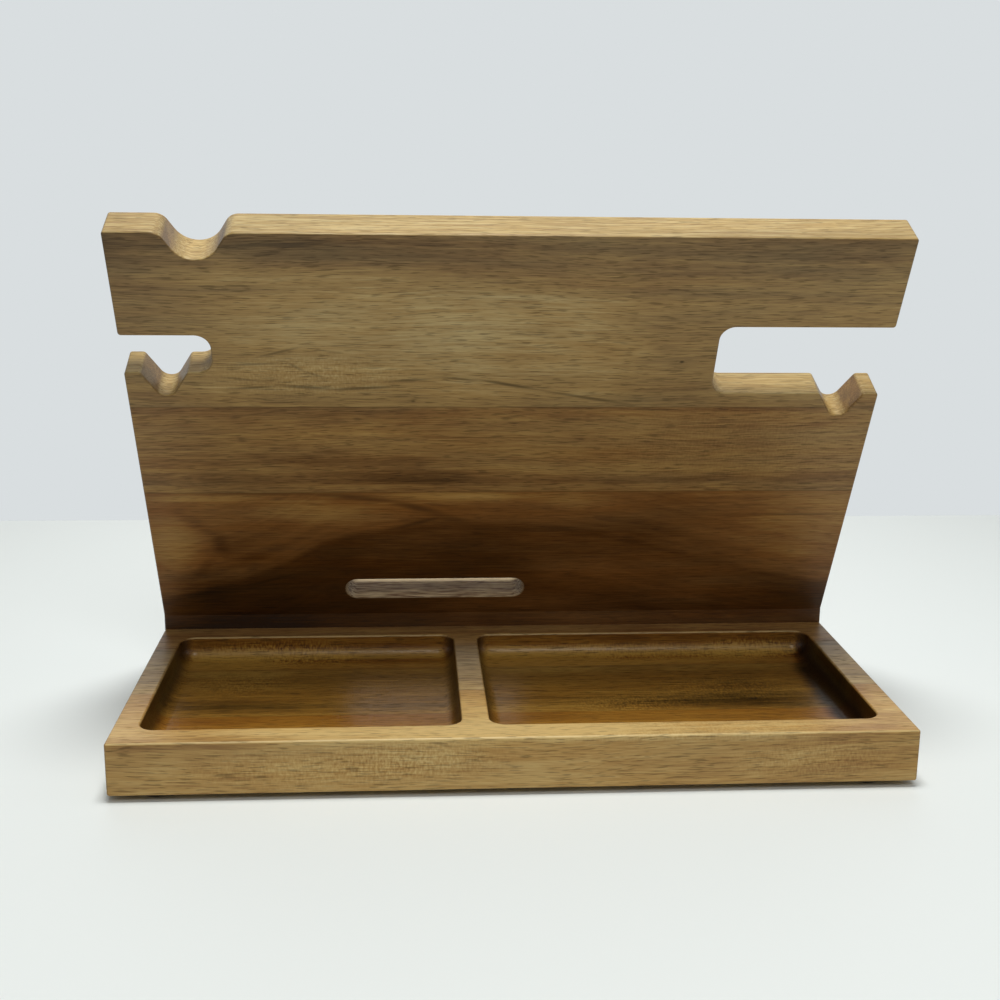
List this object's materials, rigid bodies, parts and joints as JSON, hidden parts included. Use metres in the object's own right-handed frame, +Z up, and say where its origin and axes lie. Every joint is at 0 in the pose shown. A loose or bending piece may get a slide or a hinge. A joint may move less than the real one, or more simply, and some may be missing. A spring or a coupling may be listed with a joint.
{
  "type": "wooden bedside organiser",
  "caption": "Rectangular acacia tray with two routed hollows and a notched, slotted board that leans forward over it, on rubber feet.",
  "frame": {"origin": "on the surface that the feet stand on, midway along and across the base", "axes": "+X to the right along the board, +Y to the back, away from the trays, +Z up"},
  "size_m": [0.3, 0.151, 0.208],
  "materials": {
    "base_wood": "oiled acacia, satin",
    "board_wood": "oiled acacia, satin",
    "rubber": "matt black",
    "screw_steel": "zinc plated"
  },
  "bodies": {
    "root": {"base_front_stave": "base_wood", "base_middle_stave": "base_wood", "base_rear_stave": "base_wood", "board_lower_stave": "board_wood", "board_middle_stave": "board_wood", "board_upper_stave": "board_wood", "foot_front_left": "rubber", "foot_front_right": "rubber", "foot_rear_left": "rubber", "foot_rear_right": "rubber", "assembly_screw_1": "screw_steel", "assembly_screw_2": "screw_steel", "assembly_screw_3": "screw_steel"}
  },
  "joints": []
}
